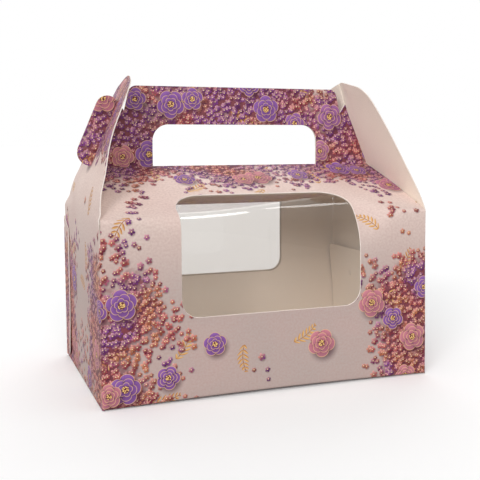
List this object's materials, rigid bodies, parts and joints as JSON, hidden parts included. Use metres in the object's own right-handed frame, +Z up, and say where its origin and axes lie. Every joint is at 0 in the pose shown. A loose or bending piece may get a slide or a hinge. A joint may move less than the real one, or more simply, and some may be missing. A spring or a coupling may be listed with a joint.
{
  "type": "gable carry box",
  "caption": "Folded paperboard carry box with a gable roof, a double handle locked through bent end ears, and clear film windows in the front and the back.",
  "frame": {"origin": "middle of the underside, where the base lies on the table", "axes": "+X along the length to the right seen from the front, +Y from the front to the back, +Z up"},
  "size_m": [0.2034, 0.125, 0.1831],
  "materials": {
    "printed_board": "solid folding boxboard, offset printed, satin varnish outside, uncoated inside",
    "plain_board": "solid folding boxboard, uncoated inner face",
    "clear_film": "clear glossy polyester film"
  },
  "bodies": {
    "box": {"front_panel": "printed_board", "back_panel": "printed_board", "left_side_panel": "printed_board", "right_side_panel": "printed_board", "seam_flap": "printed_board", "base_panel": "printed_board", "left_base_wing": "plain_board", "right_base_wing": "plain_board", "base_tuck_flap": "plain_board", "front_window_film_lower": "clear_film", "back_window_film": "clear_film"},
    "front_lid": {"front_roof": "printed_board", "front_window_film_upper": "clear_film"},
    "back_lid": {"back_roof": "printed_board"},
    "front_grip": {"front_handle": "printed_board", "front_left_tab": "printed_board", "front_right_tab": "printed_board"},
    "back_grip": {"back_handle": "printed_board", "back_left_tab": "printed_board", "back_right_tab": "printed_board"},
    "left_wing": {"left_ear": "printed_board"},
    "right_wing": {"right_ear": "printed_board"}
  },
  "joints": [
    {"name": "front_roof_fold", "type": "hinge", "parent": "box", "child": "front_lid", "pos_m": [0, -0.0625, 0.102], "axis": [1, 0, 0], "range_deg": [0, 115], "deforming": ["front_left_tab", "front_right_tab", "back_left_tab", "back_right_tab"]},
    {"name": "back_roof_fold", "type": "hinge", "parent": "box", "child": "back_lid", "pos_m": [0, 0.0625, 0.102], "axis": [-1, 0, 0], "range_deg": [0, 115]},
    {"name": "front_handle_fold", "type": "hinge", "parent": "front_lid", "child": "front_grip", "pos_m": [0, -0.00075, 0.129], "axis": [-1, 0, 0], "range_deg": [0, 66.4]},
    {"name": "back_handle_fold", "type": "hinge", "parent": "back_lid", "child": "back_grip", "pos_m": [0, 0.00075, 0.129], "axis": [1, 0, 0], "range_deg": [0, 66.4]},
    {"name": "left_ear_fold", "type": "hinge", "parent": "box", "child": "left_wing", "pos_m": [-0.1, 0, 0.102], "axis": [0, -1, 0], "range_deg": [0, 115]},
    {"name": "right_ear_fold", "type": "hinge", "parent": "box", "child": "right_wing", "pos_m": [0.1, 0, 0.102], "axis": [0, 1, 0], "range_deg": [0, 115]}
  ],
  "couplings": [
    {"joint": "back_roof_fold", "follows": "front_roof_fold", "ratio": 1},
    {"joint": "front_handle_fold", "follows": "front_roof_fold", "ratio": 0.577},
    {"joint": "back_handle_fold", "follows": "front_roof_fold", "ratio": 0.577},
    {"joint": "left_ear_fold", "follows": "front_roof_fold", "ratio": 1},
    {"joint": "right_ear_fold", "follows": "front_roof_fold", "ratio": 1}
  ]
}
